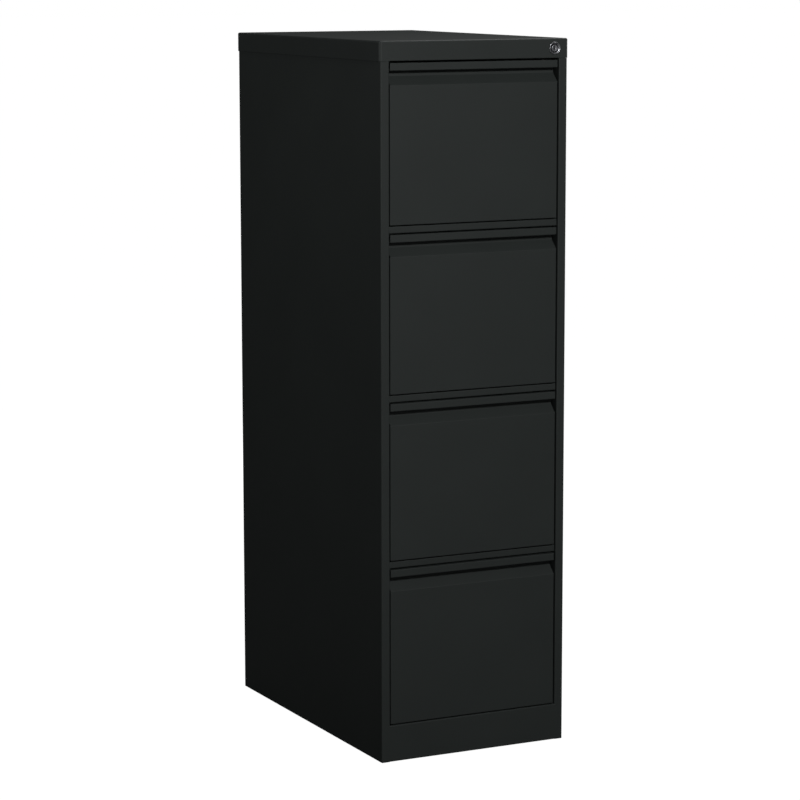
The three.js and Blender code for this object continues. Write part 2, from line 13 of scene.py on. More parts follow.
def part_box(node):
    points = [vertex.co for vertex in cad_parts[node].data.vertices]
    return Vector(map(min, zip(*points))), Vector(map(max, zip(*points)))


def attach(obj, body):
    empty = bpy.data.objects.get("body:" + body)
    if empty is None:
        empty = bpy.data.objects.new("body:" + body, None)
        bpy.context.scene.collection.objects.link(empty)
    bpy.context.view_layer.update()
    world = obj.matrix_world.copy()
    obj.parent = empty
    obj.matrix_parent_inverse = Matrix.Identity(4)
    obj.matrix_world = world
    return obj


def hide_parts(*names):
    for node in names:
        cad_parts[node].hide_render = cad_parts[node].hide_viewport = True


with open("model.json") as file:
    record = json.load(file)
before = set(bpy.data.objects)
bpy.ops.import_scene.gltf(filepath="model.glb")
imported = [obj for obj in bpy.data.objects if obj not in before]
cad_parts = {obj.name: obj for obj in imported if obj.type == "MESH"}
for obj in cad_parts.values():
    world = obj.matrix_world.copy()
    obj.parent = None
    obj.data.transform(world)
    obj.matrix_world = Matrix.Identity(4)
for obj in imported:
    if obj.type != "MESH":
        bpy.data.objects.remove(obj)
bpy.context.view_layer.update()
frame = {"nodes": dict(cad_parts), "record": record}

MM = 0.001
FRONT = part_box("side_panel_left")[0].y


def box_mm(node):
    """A node's lowest and highest corners in millimetres, y from the front plane."""
    return [(corner - Vector((0, FRONT, 0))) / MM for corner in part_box(node)]


# ---- sheet and gaps ----
SHELL = 0.9
TRAY_SHEET = 0.8
SLIDE_STEEL = 1.2
BEND = 1.5
TIGHT_BEND = 1.0
FIT = 0.3
EDGE = 0.2
FOLD_STEPS = 5

# ---- sizes read from the frame ----
WALL_LOW, WALL_HIGH = box_mm("side_panel_right")
OPENING_HALF, CASE_HALF = WALL_LOW.x, WALL_HIGH.x
REAR, CASE_TOP = WALL_HIGH.y, WALL_HIGH.z
CAP_LOW, CAP_HIGH = box_mm("top_cap")
KICK_HIGH = box_mm("kick_plate")[1]
PAN_LOW, PAN_HIGH = box_mm("base_pan")
DRAWERS = (1, 2, 3, 4)
FACES = {number: box_mm(f"drawer_face_{number}") for number in DRAWERS}
FACE_LEFT, FACE_HALF = -FACES[1][0].x, FACES[1][1].x
FACE_DEPTH = FACES[1][1].y
FACE_HEIGHT = FACES[1][1].z - FACES[1][0].z
TRAYS = {number: box_mm(f"drawer_tray_{number}") for number in DRAWERS}
TRAY_HALF = box_mm("slide_inner_right_1")[0].x - FIT
LOCK_LOW, LOCK_HIGH = box_mm("lock_housing")
LOCK_X = (LOCK_LOW.x + LOCK_HIGH.x) / 2
LOCK_Z = (LOCK_LOW.z + LOCK_HIGH.z) / 2
SIDES = {"left": -1, "right": 1}
GLIDES = ("glide_front_left", "glide_front_right", "glide_rear_left", "glide_rear_right")

# ---- fold sizes ----
CAP_CORNER = 4.5
CAP_EDGE = 3.2
CAP_RETURN = 14.0
JAMB_RETURN = 24.0
BEHIND_JAMB = JAMB_RETURN + 2
REAR_FLANGE = 14.0
BACK_FLANGE = 12.0
PAN_TOP = 22.0
PAN_FRONT_FOOT = 7.3
PAN_REAR_FLANGE = 20.0
HEADER = 14.0
HEADER_HEM = 8.0
HEM_SPACE = 2.2
RECESS_DEPTH = 16.0
RECESS_FLAT = 10.0
RECESS_SLANT = 16.0
CORNER_RELIEF = 2.4
FACE_LIP = 14.0
TRAY_FLOOR = 14.0
TRAY_ROLL = 4.0
TRAY_FRONT_DROP = 50.0
TRAY_BACK_DROP = 90.0
TRAY_BACK_LIP = 9.0
FOLLOWER_LEAN = 30.0

# ---- slide and lock sizes ----
LIP_BEND = 1.3
BALL_START = 305
BALL_PITCH = 15
BALL_COUNT = 16
CAGE_WIRE = 0.2
BARREL_HOLE = 9.75
CRANK_THROW = 8.5
PIN_REACH = CRANK_THROW * math.sqrt(0.5)
PIN_ROOM = 2.8
BAR_STEEL = 2.0
BAR_WIDTH = 12.5
BAR_HEAD = 14.0
BAR_CORNER = 1.2
FINGER_ABOVE = 160.0
FINGER_HEIGHT = 12.0
FINGER_GAP = 2.5
STRIKE_ABOVE = 174
STRIKE_HEIGHT = 12
STRIKE_FRONT = 31.75
STRIKE_REAR = 52
STRIKE_REACH = 11
GUIDE_STEEL = 1.2

# ---- camera ----
CAMERA_PLACE = Vector((-2.435, FRONT - 4.570, 1.473))
CAMERA_HEADING = 26.538
CAMERA_DIP = 8.882
CAMERA_ROLL = -0.064
CAMERA_LENS = 128.4


def make_camera():
    """Looks down a little at the left front corner from a good way off."""
    data = bpy.data.cameras.new("camera")
    data.lens = CAMERA_LENS
    data.sensor_width = 36.0
    data.clip_end = 100.0
    camera = bpy.data.objects.new("camera", data)
    bpy.context.scene.collection.objects.link(camera)
    turn = Matrix.Rotation(math.radians(-CAMERA_HEADING), 4, "Z")
    tip = Matrix.Rotation(math.radians(90 - CAMERA_DIP), 4, "X")
    roll = Matrix.Rotation(math.radians(CAMERA_ROLL), 4, "Z")
    camera.matrix_world = Matrix.Translation(CAMERA_PLACE) @ turn @ tip @ roll
    bpy.context.scene.camera = camera


make_camera()


# ---- colours ----
BLACK = (0.0290, 0.0336, 0.0321)
INNER_BLACK = (0.0250, 0.0285, 0.0275)
SATIN = 0.25
ZINC_COOL = (0.60, 0.62, 0.64, 1)
ZINC_WARM = (0.70, 0.70, 0.67, 1)
CHROME_GREY = (0.42, 0.43, 0.45)
NYLON_BLACK = (0.018, 0.018, 0.019)


# ---- shader maths ----
class Wire:
    """A node socket that can be used in sums; each operation adds one Math node."""

    def __init__(self, finish, socket):
        self.finish = finish
        self.socket = socket

    def maths(self, operation, *values):
        return self.finish.make("ShaderNodeMath", {"operation": operation}, *values)["Value"]

    def __add__(self, other):
        return self.maths("ADD", self, other)

    __radd__ = __add__

    def __sub__(self, other):
        return self.maths("SUBTRACT", self, other)

    def __rsub__(self, other):
        return self.maths("SUBTRACT", other, self)

    def __mul__(self, other):
        return self.maths("MULTIPLY", self, other)

    __rmul__ = __mul__


class Finish:
    """A material being made; make() adds a node of any kind and gives its outputs by name."""

    def __init__(self, name):
        self.material = bpy.data.materials.new(name)
        self.material.use_nodes = True
        self.tree = self.material.node_tree
        self.shader = self.tree.nodes["Principled BSDF"]
        self.place = self.make("ShaderNodeTexCoord", {})["Object"]

    def make(self, kind, settings, *values, **named):
        node = self.tree.nodes.new(kind)
        stops = settings.pop("stops", None)
        for key, value in settings.items():
            setattr(node, key, value)
        if stops:
            for element, (position, level) in zip(node.color_ramp.elements, stops):
                element.position = position
                element.color = (level, level, level, 1.0)
        for key, value in [*enumerate(values), *named.items()]:
            self.feed(node.inputs[key.replace("_", " ") if isinstance(key, str) else key], value)
        return {socket.name: Wire(self, socket) for socket in node.outputs}

    def feed(self, socket, value):
        if isinstance(value, Wire):
            self.tree.links.new(value.socket, socket)
        else:
            socket.default_value = value

    def set(self, **sockets):
        for name, value in sockets.items():
            self.feed(self.shader.inputs[name.replace("_", " ")], value)
        return self

    def noise(self, size, detail=2.0, roughness=0.5, stretch=(1, 1, 1)):
        """Noise whose features are about size millimetres, stretched along the axes."""
        scale = [1.0 / (size * MM * s) for s in stretch]
        place = self.make("ShaderNodeMapping", {}, self.place, Scale=scale)["Vector"]
        return self.make("ShaderNodeTexNoise", {}, place, Scale=1.0, Detail=detail, Roughness=roughness)["Fac"]

    def ramp(self, value, low, high):
        """Spreads the values between low and high over the whole of 0 to 1."""
        return self.make("ShaderNodeValToRGB", {"stops": [(low, 0.0), (high, 1.0)]}, value)["Color"]

    def mix(self, share, first, second):
        """Mixes two colours. A Mix node's sockets 0, 6 and 7 are the share and the colours, output 2 the result."""
        made = self.make("ShaderNodeMix", {"data_type": "RGBA"})
        node = made["Result"].socket.node
        for index, value in ((0, share), (6, first), (7, second)):
            self.feed(node.inputs[index], value)
        return Wire(self, node.outputs[2])

    def bump(self, height, strength, distance):
        """A bump whose full height is distance millimetres."""
        made = self.make("ShaderNodeBump", {}, Height=height, Strength=strength, Distance=distance * MM)
        return made["Normal"]


def shades(tone, spread):
    """A darker and a lighter neighbour of a colour."""
    return [(*(channel * share for channel in tone), 1) for share in (1 - spread, 1 + spread)]


def powder_coat(name, tone, roughness, texture):
    """Satin black powder coat: fine orange peel, a trace of grit, and gloss that drifts a little."""
    finish = Finish(name)
    peel = finish.noise(1.3, 2.0, 0.55)
    grit = finish.noise(0.35, 1.0, 0.5)
    drift = finish.noise(160, 2.0, 0.5)
    handled = finish.noise(45, 3.0, 0.55)
    darker, lighter = shades(tone, 0.035)
    colour = finish.mix(finish.ramp(drift, 0.3, 0.7), darker, lighter)
    gloss = roughness + (drift - 0.5) * 0.05 + (handled - 0.5) * 0.04 + (grit - 0.5) * 0.08
    finish.set(Base_Color=colour, Roughness=gloss, Metallic=0.0, Specular_IOR_Level=SATIN)
    finish.set(Normal=finish.bump(peel * 0.7 + grit * 0.3, texture, 0.12))
    return finish.material


def zinc_plate(name):
    """Bright zinc on rolled steel: long rolling marks, spangle clouds and a faint yellow tint."""
    finish = Finish(name)
    rolled = finish.noise(0.9, 3.0, 0.6, (1, 50, 1))
    spangle = finish.noise(14, 2.0, 0.5)
    colour = finish.mix(finish.ramp(spangle, 0.35, 0.65), ZINC_COOL, ZINC_WARM)
    gloss = 0.42 + (rolled - 0.5) * 0.22 + (spangle - 0.5) * 0.14
    finish.set(Base_Color=colour, Roughness=gloss, Metallic=1.0)
    finish.set(Normal=finish.bump(rolled, 0.25, 0.05))
    return finish.material


def bright_chrome(name, tone, roughness):
    """Chrome over turned brass, with hair scratches and a little haze."""
    finish = Finish(name)
    hair = finish.noise(0.5, 4.0, 0.7)
    haze = finish.noise(4.0, 2.0, 0.5)
    darker, lighter = shades(tone, 0.06)
    colour = finish.mix(finish.ramp(haze, 0.35, 0.65), darker, lighter)
    finish.set(Base_Color=colour, Metallic=1.0, Roughness=roughness + hair * 0.08 + haze * 0.05)
    finish.set(Normal=finish.bump(hair, 0.08, 0.03))
    return finish.material


def moulded_nylon(name):
    """Black moulded nylon with a fine eroded skin."""
    finish = Finish(name)
    skin = finish.noise(0.4, 2.0, 0.6)
    patch = finish.noise(9.0, 2.0, 0.5)
    darker, lighter = shades(NYLON_BLACK, 0.2)
    colour = finish.mix(finish.ramp(patch, 0.3, 0.7), darker, lighter)
    finish.set(Base_Color=colour, Roughness=0.50 + skin * 0.16)
    finish.set(Normal=finish.bump(skin, 0.35, 0.08))
    return finish.material


FINISHES = {
    "case_paint": powder_coat("case_powder_coat", BLACK, 0.52, 0.30),
    "inner_paint": powder_coat("inner_paint", INNER_BLACK, 0.46, 0.18),
    "zinc_steel": zinc_plate("zinc_plate"),
    "chrome": bright_chrome("lock_chrome", CHROME_GREY, 0.31),
    "black_nylon": moulded_nylon("glide_nylon"),
}
for row in frame["record"]["subparts"]:
    node = frame["nodes"][row["node"]]
    node.data.materials.clear()
    node.data.materials.append(FINISHES[row["material_slot"]])


# ---- sheet-metal tools ----
def verts_of(geometry):
    return [part for part in geometry if isinstance(part, bmesh.types.BMVert)]


def edges_of(geometry):
    return [part for part in geometry if isinstance(part, bmesh.types.BMEdge)]


def round_edges(mesh, edges, reach):
    """Turns sharp edges into smooth bends that start this far to either side."""
    bmesh.ops.bevel(mesh, geom=edges, offset=reach, offset_type="OFFSET", segments=FOLD_STEPS, profile=0.5,
                    affect="EDGES", material=-1)


def folded(section, axis, low, high, radius=BEND, mesh=None):
    """An open strip through the section's corners, run along an axis, with every fold rounded.

    The section is drawn in (y, z) for a strip along x, (x, z) along y and (x, y) along z.
    """
    mesh = mesh or bmesh.new()
    index = "xyz".index(axis)

    def spot(pair):
        place = list(pair)
        place.insert(index, low)
        return mesh.verts.new(place)

    corners = [spot(pair) for pair in section]
    line = [mesh.edges.new(pair) for pair in zip(corners, corners[1:])]
    far = verts_of(bmesh.ops.extrude_edge_only(mesh, edges=line)["geom"])
    run = Vector((0, 0, 0))
    run[index] = high - low
    bmesh.ops.translate(mesh, vec=run, verts=far)
    folds = []
    for before, corner, after in zip(corners, corners[1:], corners[2:]):
        turn = (corner.co - before.co).angle(after.co - corner.co)
        edge = next(edge for edge in corner.link_edges if edge.other_vert(corner) in far)
        folds.append((edge, radius * math.tan(turn / 2)))
    for edge, reach in folds:
        round_edges(mesh, [edge], reach)
    return mesh


def flanged(mesh, edges, steps, radius=BEND):
    """Folds flanges out from border edges: each step is a move in millimetres."""
    for step in steps:
        grown = bmesh.ops.extrude_edge_only(mesh, edges=edges)["geom"]
        far = verts_of(grown)
        bmesh.ops.translate(mesh, vec=step, verts=far)
        rim = [edge for edge in edges_of(grown) if all(vert in far for vert in edge.verts)]
        round_edges(mesh, edges, radius)
        edges = [edge for edge in rim if edge.is_valid]
    return mesh


def border(mesh, test):
    """The border edges whose two ends both pass a test."""
    return [edge for edge in mesh.edges if edge.is_boundary and all(test(vert.co) for vert in edge.verts)]


def trimmed(mesh, test):
    """Deletes the faces whose middle passes a test."""
    gone = [face for face in mesh.faces if test(face.calc_center_median())]
    bmesh.ops.delete(mesh, geom=gone, context="FACES")
    return mesh


def sliced(mesh, axis, *places):
    """Adds a row of edges where each plane crosses the mesh."""
    normal = [float(axis == name) for name in "xyz"]
    for place in places:
        geometry = [*mesh.verts, *mesh.edges, *mesh.faces]
        bmesh.ops.bisect_plane(mesh, geom=geometry, plane_co=[place * part for part in normal], plane_no=normal)
    return mesh


def block(low, high, mesh=None):
    """A plain closed box, for joining on or cutting with."""
    mesh = mesh or bmesh.new()
    made = bmesh.ops.create_cube(mesh, size=1.0)["verts"]
    bmesh.ops.scale(mesh, vec=[b - a for a, b in zip(low, high)], verts=made)
    bmesh.ops.translate(mesh, vec=[(a + b) / 2 for a, b in zip(low, high)], verts=made)
    return mesh


def lathed(profile, centre, axis="y", steps=48, mesh=None):
    """A turned piece; the profile is pairs of radius and place along the axis."""
    mesh = mesh or bmesh.new()
    line = Vector([float(axis == name) for name in "xyz"])
    out = Vector((1, 0, 0)) if axis != "x" else Vector((0, 1, 0))
    points = [mesh.verts.new(Vector(centre) + out * radius + line * place) for radius, place in profile]
    edges = [mesh.edges.new(pair) for pair in zip(points, points[1:])]
    bmesh.ops.spin(mesh, geom=[*points, *edges], cent=centre, axis=line, angle=math.tau, steps=steps,
                   use_merge=True)
    bmesh.ops.remove_doubles(mesh, verts=mesh.verts, dist=0.001)
    bmesh.ops.recalc_face_normals(mesh, faces=mesh.faces)
    return mesh


def merge_in(mesh, part):
    """Adds one drawn mesh to another."""
    data = bpy.data.meshes.new("part")
    part.to_mesh(data)
    part.free()
    mesh.from_mesh(data)
    bpy.data.meshes.remove(data)


def loose(name, mesh):
    """Turns a drawn mesh into an object in metres."""
    bmesh.ops.scale(mesh, vec=(MM, MM, MM), verts=mesh.verts)
    bmesh.ops.translate(mesh, vec=(0, FRONT, 0), verts=mesh.verts)
    for face in mesh.faces:
        face.smooth = True
    data = bpy.data.meshes.new(name)
    mesh.to_mesh(data)
    mesh.free()
    made = bpy.data.objects.new(name, data)
    bpy.context.scene.collection.objects.link(made)
    return made


def settle(piece):
    """Makes a piece's modifiers part of its mesh."""
    seen = piece.evaluated_get(bpy.context.evaluated_depsgraph_get())
    data = bpy.data.meshes.new_from_object(seen)
    piece.modifiers.clear()
    piece.data = data


def fit(name, mesh, body, slot, stands_for=(), sheet=None, lean=0, edge=EDGE, cuts=()):
    """Finishes a piece: gives a sheet its thickness, makes its holes, softens its edges and fixes it to a body."""
    piece = loose(name, mesh)
    if sheet:
        wall = piece.modifiers.new("sheet", "SOLIDIFY")
        wall.thickness = sheet * MM
        wall.offset = lean
        wall.use_even_offset = True
    if cuts:
        tools = [loose(f"{name}_tool", tool) for tool in cuts]
        for tool in tools:
            hole = piece.modifiers.new("hole", "BOOLEAN")
            hole.operation = "DIFFERENCE"
            hole.solver = "EXACT"
            hole.object = tool
        settle(piece)
        for tool in tools:
            bpy.data.objects.remove(tool)
    if edge:
        soft = piece.modifiers.new("soft_edges", "BEVEL")
        soft.width = edge * MM
        soft.segments = 2
        soft.limit_method = "ANGLE"
        soft.angle_limit = math.radians(40)
    flat = piece.modifiers.new("flat_faces", "WEIGHTED_NORMAL")
    flat.weight = 100
    flat.keep_sharp = True
    piece.data.materials.clear()
    piece.data.materials.append(FINISHES[slot])
    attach(piece, body)
    if stands_for:
        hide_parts(*stands_for)
    return piece


# ---- case ----
def side_wall(side):
    """Outer wall with the jamb and its return in front and a flange behind; the cap covers its top corner."""
    half = SHELL / 2
    mesh = folded([
        (side * (OPENING_HALF + half), JAMB_RETURN),
        (side * (OPENING_HALF + half), half),
        (side * (CASE_HALF - half), half),
        (side * (CASE_HALF - half), REAR - half),
        (side * (CASE_HALF - REAR_FLANGE), REAR - half),
    ], "z", 0, CASE_TOP)
    notch_foot = CAP_LOW.z - FIT
    sliced(mesh, "z", notch_foot)
    sliced(mesh, "y", BEHIND_JAMB)
    return trimmed(mesh, lambda at: at.z > notch_foot and at.y < BEHIND_JAMB)


def rear_wall():
    """Flat back with a flange down each side, set inside the side walls' flanges."""
    half = SHELL / 2
    edge = CASE_HALF - SHELL - FIT - half
    rear = REAR - SHELL - FIT - half
    return folded([(-edge, rear - BACK_FLANGE), (-edge, rear), (edge, rear), (edge, rear - BACK_FLANGE)],
                  "z", 0, CASE_TOP)


def lid():
    """Folded lid: rounded skirt corners, softly bent top edges and a return under the front skirt."""
    mesh = block(CAP_LOW, CAP_HIGH)
    trimmed(mesh, lambda at: at.z < CAP_LOW.z + 1)
    upright = [edge for edge in mesh.edges if abs(edge.verts[0].co.z - edge.verts[1].co.z) > 1]
    round_edges(mesh, upright, CAP_CORNER)
    rim = [edge for edge in mesh.edges
           if all(vert.co.z > CAP_HIGH.z - 0.01 for vert in edge.verts) and len(edge.link_faces) == 2]
    round_edges(mesh, rim, CAP_EDGE)
    reach = OPENING_HALF - BEND
    sliced(mesh, "x", -reach, reach)
    foot = border(mesh, lambda at: at.y < 0.01 and abs(at.x) < reach + 0.01 and at.z < CAP_LOW.z + 0.01)
    return flanged(mesh, foot, [(0, CAP_RETURN, 0)])


def plinth():
    """Kick plate, welded flush into the jambs."""
    half = SHELL / 2
    reach = OPENING_HALF + BEND + half / 2
    return folded([
        (KICK_HIGH.y, KICK_HIGH.z - half), (half, KICK_HIGH.z - half), (half, half), (KICK_HIGH.y, half),
    ], "x", -reach, reach)


def base_floor():
    """Base pan: turned down in front, and down to the ground with a foot flange at the rear."""
    half = SHELL / 2
    level = PAN_TOP - half
    front = BEHIND_JAMB + half
    rear = REAR - 2 * (SHELL + FIT) - half
    return folded([
        (front, PAN_FRONT_FOOT), (front, level), (rear, level), (rear, half), (rear - PAN_REAR_FLANGE, half),
    ], "x", PAN_LOW.x, PAN_HIGH.x)


def bosses():
    """Welded nuts over the glide holes."""
    mesh = bmesh.new()
    for name in GLIDES:
        low, high = box_mm(name)
        centre = ((low.x + high.x) / 2, (low.y + high.y) / 2, 0)
        part = lathed([(4.4, 22.2), (7.6, 22.2), (7.9, 22.6), (7.9, 29.4), (7.4, 29.9), (4.9, 29.9), (4.4, 29.4),
                       (4.4, 22.2)], centre, "z", 32)
        merge_in(mesh, part)
    return mesh


def cross_rail(number):
    """Channel between two drawers, open to the rear."""
    low, high = box_mm(f"cross_rail_{number}")
    half = SHELL / 2
    front, rear = low.y + half, high.y
    return folded([(rear, high.z - half), (front, high.z - half), (front, low.z + half), (rear, low.z + half)],
                  "x", -OPENING_HALF + FIT, OPENING_HALF - FIT)


def column(node, side):
    """Slide column, a channel open to the side wall."""
    low, high = box_mm(node)
    half = SLIDE_STEEL / 2
    near, far = (low.x, high.x) if side > 0 else (high.x, low.x)
    near += side * half
    return folded([(far, low.y + half), (near, low.y + half), (near, high.y - half), (far, high.y - half)],
                  "z", low.z, high.z)


def foot(name):
    """Moulded foot on a threaded stud."""
    low, high = box_mm(name)
    centre = ((low.x + high.x) / 2, (low.y + high.y) / 2, 0)
    radius = (high.x - low.x) / 2
    profile = [(0, 0.6), (radius - 2.4, 0.6), (radius - 0.8, 0.9), (radius, 2.0), (radius, 4.6),
               (radius - 0.7, 5.4), (9.0, 6.1), (8.2, 6.2), (8.0, 6.8), (7.6, 7.6), (4.4, 7.9), (3.9, 8.4)]
    turn = 1.25
    thread = 9.0
    while thread < high.z - 2:
        profile += [(3.5, thread), (3.95, thread + turn / 2)]
        thread += turn
    profile += [(3.6, high.z - 0.8), (3.0, high.z), (0, high.z)]
    return lathed(profile, centre, "z", 32)


# ---- slides ----
def channel(node, curl):
    """A slide member: web and two lips; curl is how far a lip's edge turns back, or 0 for none."""
    low, high = box_mm(node)
    side = 1 if low.x > 0 else -1
    half = SLIDE_STEEL / 2
    outward, inward = (high.x, low.x) if side > 0 else (low.x, high.x)
    inner = node.startswith("slide_inner")
    web, tip = (inward + side * half, outward) if inner else (outward - side * half, inward)
    top, bottom = high.z - half, low.z + half
    section = [(tip, top), (web, top), (web, bottom), (tip, bottom)]
    if curl:
        edge = tip + (half if tip < web else -half)
        section = [(edge, top - curl), (edge, top), (web, top),
                   (web, bottom), (edge, bottom), (edge, bottom + curl)]
    return folded(section, "y", low.y, high.y, LIP_BEND)


def ball_row(number, name):
    """The balls that run between the fixed and the middle member, in a thin wire cage."""
    raceway = box_mm(f"slide_outer_{name}_{number}")[1].z - SLIDE_STEEL
    low, high = box_mm(f"slide_middle_{name}_{number}")
    mesh = bmesh.new()
    gap = raceway - high.z
    across = (low.x + high.x) / 2
    start = low.y + BALL_START
    end = start + BALL_PITCH * BALL_COUNT
    for level in (high.z + gap / 2, low.z - gap / 2):
        made = bmesh.ops.create_icosphere(mesh, subdivisions=1, radius=gap / 2 - 0.15)["verts"]
        bmesh.ops.translate(mesh, vec=(across, start, level), verts=made)
        ball = [*made, *{edge for vert in made for edge in vert.link_edges},
                *{face for vert in made for face in vert.link_faces}]
        for step in range(1, BALL_COUNT):
            copy = bmesh.ops.duplicate(mesh, geom=ball)["geom"]
            bmesh.ops.translate(mesh, vec=(0, BALL_PITCH * step, 0), verts=verts_of(copy))
        for wire in (across - 1.1, across + 0.9):
            block((wire, start - 6, level - 0.5), (wire + CAGE_WIRE, end, level + 0.5), mesh)
    return mesh


def rivet(centre, axis, way, radius=3.0, height=0.6, mesh=None):
    """A low domed head on a flat face; way is +1 or -1 along the axis."""
    profile = [(0, way * height), (radius * 0.45, way * height * 0.9),
               (radius * 0.8, way * height * 0.55), (radius, 0), (0, 0)]
    return lathed(profile, centre, axis, 16, mesh)


# ---- drawers ----
def drawer_front(number):
    """One folded sheet: hemmed header, finger pull with a slanted foot, flat front, flanges round the edges."""
    low, high = FACES[number]
    half = SHELL / 2
    header_foot = high.z - HEADER
    flat_foot = header_foot - RECESS_FLAT
    slant_foot = flat_foot - RECESS_SLANT
    plate = RECESS_DEPTH + half
    mesh = folded([
        (half + HEM_SPACE, header_foot + HEADER_HEM),
        (half + HEM_SPACE, header_foot + half),
        (half, header_foot + half),
        (half, high.z - half),
        (plate, high.z - half),
        (plate, flat_foot),
        (half, slant_foot),
        (half, low.z + half),
        (FACE_DEPTH - half, low.z + half),
        (FACE_DEPTH - half, low.z + FACE_LIP),
    ], "x", half - FACE_LEFT, FACE_HALF - half, TIGHT_BEND)
    relief_foot, relief_top = low.z + CORNER_RELIEF, slant_foot - BEND
    sliced(mesh, "z", relief_foot, relief_top)
    for side in SIDES.values():
        reach = (FACE_LEFT if side < 0 else FACE_HALF) - half
        edge = border(mesh, lambda at: at.x * side > reach - 0.01 and abs(at.y - half) < 0.01
                      and relief_foot - 0.01 < at.z < relief_top + 0.01)
        flanged(mesh, edge, [(0, FACE_DEPTH - SHELL, 0), (-side * (FACE_LIP - half), 0, 0)], TIGHT_BEND)
    return mesh


def drawer_tray(number):
    """Floor and sides from one sheet with a rolled file rail along each side, a wide front and a rear panel."""
    low, high = TRAYS[number]
    foot = FACES[number][0].z
    half = TRAY_SHEET / 2
    wall = TRAY_HALF - half
    rail = TRAY_HALF - TRAY_ROLL
    top = high.z - half
    floor = foot + TRAY_FLOOR + half
    roll = high.z - TRAY_ROLL - BEND
    start, end, wide = low.y, high.y, high.x
    mesh = folded([(-rail, roll), (-rail, top), (-wall, top), (-wall, floor), (wall, floor), (wall, top),
                   (rail, top), (rail, roll)], "y", start + TRAY_SHEET, end - TRAY_SHEET)
    front_top = foot + FACE_HEIGHT - TRAY_FRONT_DROP
    folded([(-wide, start + half), (wide, start + half)], "z", foot + TRAY_FLOOR / 2, front_top, mesh=mesh)
    back_top = foot + FACE_HEIGHT - TRAY_BACK_DROP
    folded([(end - half, floor), (end - half, back_top - half), (end - TRAY_BACK_LIP, back_top - half)],
           "x", -wall, wall, mesh=mesh)
    return mesh


def tray_strike(number):
    """Bracket on the right of the tray that the lock bar's finger stops."""
    foot = FACES[number][0].z + STRIKE_ABOVE
    wall = TRAY_HALF + 0.4
    return folded([(wall, STRIKE_REAR), (wall, STRIKE_FRONT), (TRAY_HALF + STRIKE_REACH, STRIKE_FRONT)],
                  "z", foot, foot + STRIKE_HEIGHT, 1.2)


def follower_track(number):
    """Raised track along the middle of the tray floor that the follower's foot runs over."""
    low, high = TRAYS[number]
    floor = FACES[number][0].z + TRAY_FLOOR + TRAY_SHEET
    edge, top = floor + 0.35, floor + 0.85
    return folded([(-17, edge), (-12, edge), (-11, top), (11, top), (12, edge), (17, edge)],
                  "y", low.y + 14, high.y - 14, 0.3)


def follower_plate(number):
    """Leaning plate that holds the files up, on a foot that slides along the track."""
    low, high = box_mm(f"follower_block_{number}")
    half = TRAY_SHEET / 2
    foot = low.z + half
    top = high.z - half
    lean = low.y + FOLLOWER_LEAN
    mesh = folded([(high.y, foot), (low.y + half, foot), (low.y + 2.4, foot + 14)], "x", -45, 45)
    folded([(low.y + 2.0, foot + 10), (lean, top), (lean + 8, top), (lean + 8, top - 9)],
           "x", low.x + 2, high.x - 2, mesh=mesh)
    return mesh


def follower_handle(number):
    """Thumb release behind the plate."""
    low, high = box_mm(f"follower_block_{number}")
    return folded([(low.y + 31, high.z - 70), (low.y + 46, high.z - 62), (low.y + 46, high.z - 28),
                   (low.y + 35, high.z - 24)], "x", -16, 16, 2.5)


# ---- lock ----
def lock_rim():
    """Housing: a thin bead round a sunk ring, with a chamfer outside, and the threaded barrel behind the skirt."""
    front, rear = LOCK_LOW.y, LOCK_HIGH.y
    radius = (LOCK_HIGH.x - LOCK_LOW.x) / 2
    bore, barrel = 6.7, 9.3
    profile = [(bore, front + 1.35), (9.5, front + 1.2), (9.9, front + 0.75), (10.15, front + 0.25),
               (10.5, front), (10.9, front + 0.15), (radius, front + 0.6),
               (radius, -FIT / 3), (barrel, -FIT / 3)]
    thread = 1.6
    while thread < rear - 2:
        profile += [(barrel, thread), (barrel - 0.45, thread + 0.5)]
        thread += 1.0
    profile += [(barrel - 0.3, rear), (bore, rear), (bore, front + 1.35)]
    return lathed(profile, (LOCK_X, 0, LOCK_Z), "y", 64)


def lock_core():
    """Plug with a shallow dished face."""
    face, end = LOCK_LOW.y + 0.6, LOCK_HIGH.y + FIT
    profile = [(0, face + 0.35), (2.6, face + 0.32), (4.6, face + 0.1), (5.4, face), (5.9, face + 0.1),
               (6.3, face + 0.6), (6.3, end), (0, end)]
    return lathed(profile, (LOCK_X, 0, LOCK_Z), "y", 48)


def key_slot():
    """The keyway, a plain upright slot cut into the plug's face."""
    across, tall = 0.8, 3.75
    face = LOCK_LOW.y
    return block((LOCK_X - across, face - 2, LOCK_Z - tall), (LOCK_X + across, face + 9, LOCK_Z + tall))


def barrel_room(depth):
    """The round hole that the lock's barrel passes through."""
    return lathed([(0, -3), (BARREL_HOLE, -3), (BARREL_HOLE, depth), (0, depth)], (LOCK_X, 0, LOCK_Z), "y", 48)


def hex_nut():
    """The nut that holds the lock from behind the cap's skirt."""
    low, high = box_mm("lock_nut")
    flats = (high.x - low.x) / 2
    mesh = bmesh.new()
    corner = flats / math.cos(math.pi / 6)
    made = bmesh.ops.create_cone(mesh, cap_ends=True, segments=6, radius1=corner, radius2=corner,
                                 depth=high.y - low.y)["verts"]
    bmesh.ops.rotate(mesh, matrix=Matrix.Rotation(math.radians(90), 3, "X"), verts=made)
    bmesh.ops.translate(mesh, vec=(LOCK_X, (low.y + high.y) / 2, LOCK_Z), verts=made)
    return mesh


